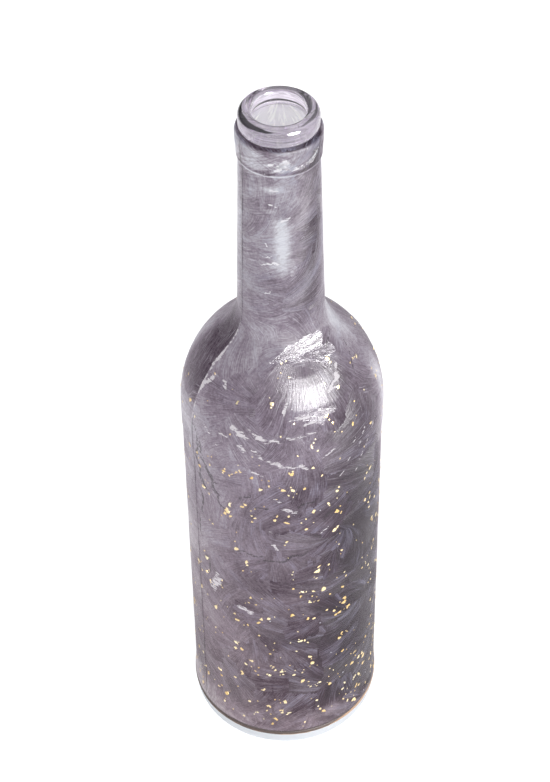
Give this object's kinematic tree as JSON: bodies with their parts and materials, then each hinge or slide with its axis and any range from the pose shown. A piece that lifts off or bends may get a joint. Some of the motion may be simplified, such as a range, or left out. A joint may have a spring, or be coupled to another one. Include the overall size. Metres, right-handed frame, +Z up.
{
  "type": "decorated wine bottle",
  "caption": "Tall wine bottle of clear glass with a frosted purple-grey crystal lacquer skin, scattered gold leaf flakes and a gilt foot line; open cork mouth and punted base.",
  "frame": {"origin": "centre of the foot ring, on the surface that the bottle stands on", "axes": "+Z up along the bottle's axis, -Y towards the front that the picture shows"},
  "size_m": [0.076, 0.076, 0.3],
  "materials": {
    "clear_glass": "polished",
    "frosted_lacquer": "satin",
    "copper_gilt": "satin",
    "gold_leaf": "polished"
  },
  "bodies": {
    "root": {"glass_bottle": "clear_glass", "frosted_lacquer_skin": "frosted_lacquer", "gilt_foot_line": "copper_gilt", "gold_leaf_flakes": "gold_leaf"}
  },
  "joints": []
}
